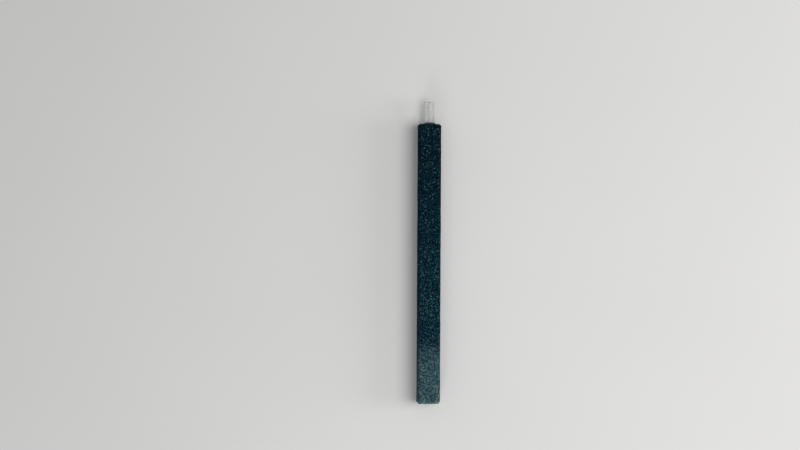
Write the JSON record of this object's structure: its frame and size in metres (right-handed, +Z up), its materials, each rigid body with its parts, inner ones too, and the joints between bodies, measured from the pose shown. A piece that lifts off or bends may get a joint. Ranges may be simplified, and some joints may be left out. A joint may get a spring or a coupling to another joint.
{
  "type": "air stone bar",
  "caption": "Straight bar of bonded mineral grain with a clear nozzle at one end, for breaking an airline's air into fine bubbles in an aquarium or pond.",
  "frame": {"origin": "centre of the stone's flat underside, nozzle left out", "axes": "+X along the bar towards the nozzle, +Y across the bar, +Z up from the underside"},
  "size_m": [0.1622, 0.0128, 0.0124],
  "materials": {
    "bonded_grain": "coarse grain bonded with resin, dark teal, porous, matt with small glints",
    "clear_nozzle_plastic": "clear, smooth moulded plastic",
    "cured_resin": "glossy cured resin, dark over the stone"
  },
  "bodies": {
    "root": {"stone_body": "bonded_grain", "air_nozzle": "clear_nozzle_plastic", "nozzle_adhesive": "cured_resin"}
  },
  "joints": []
}
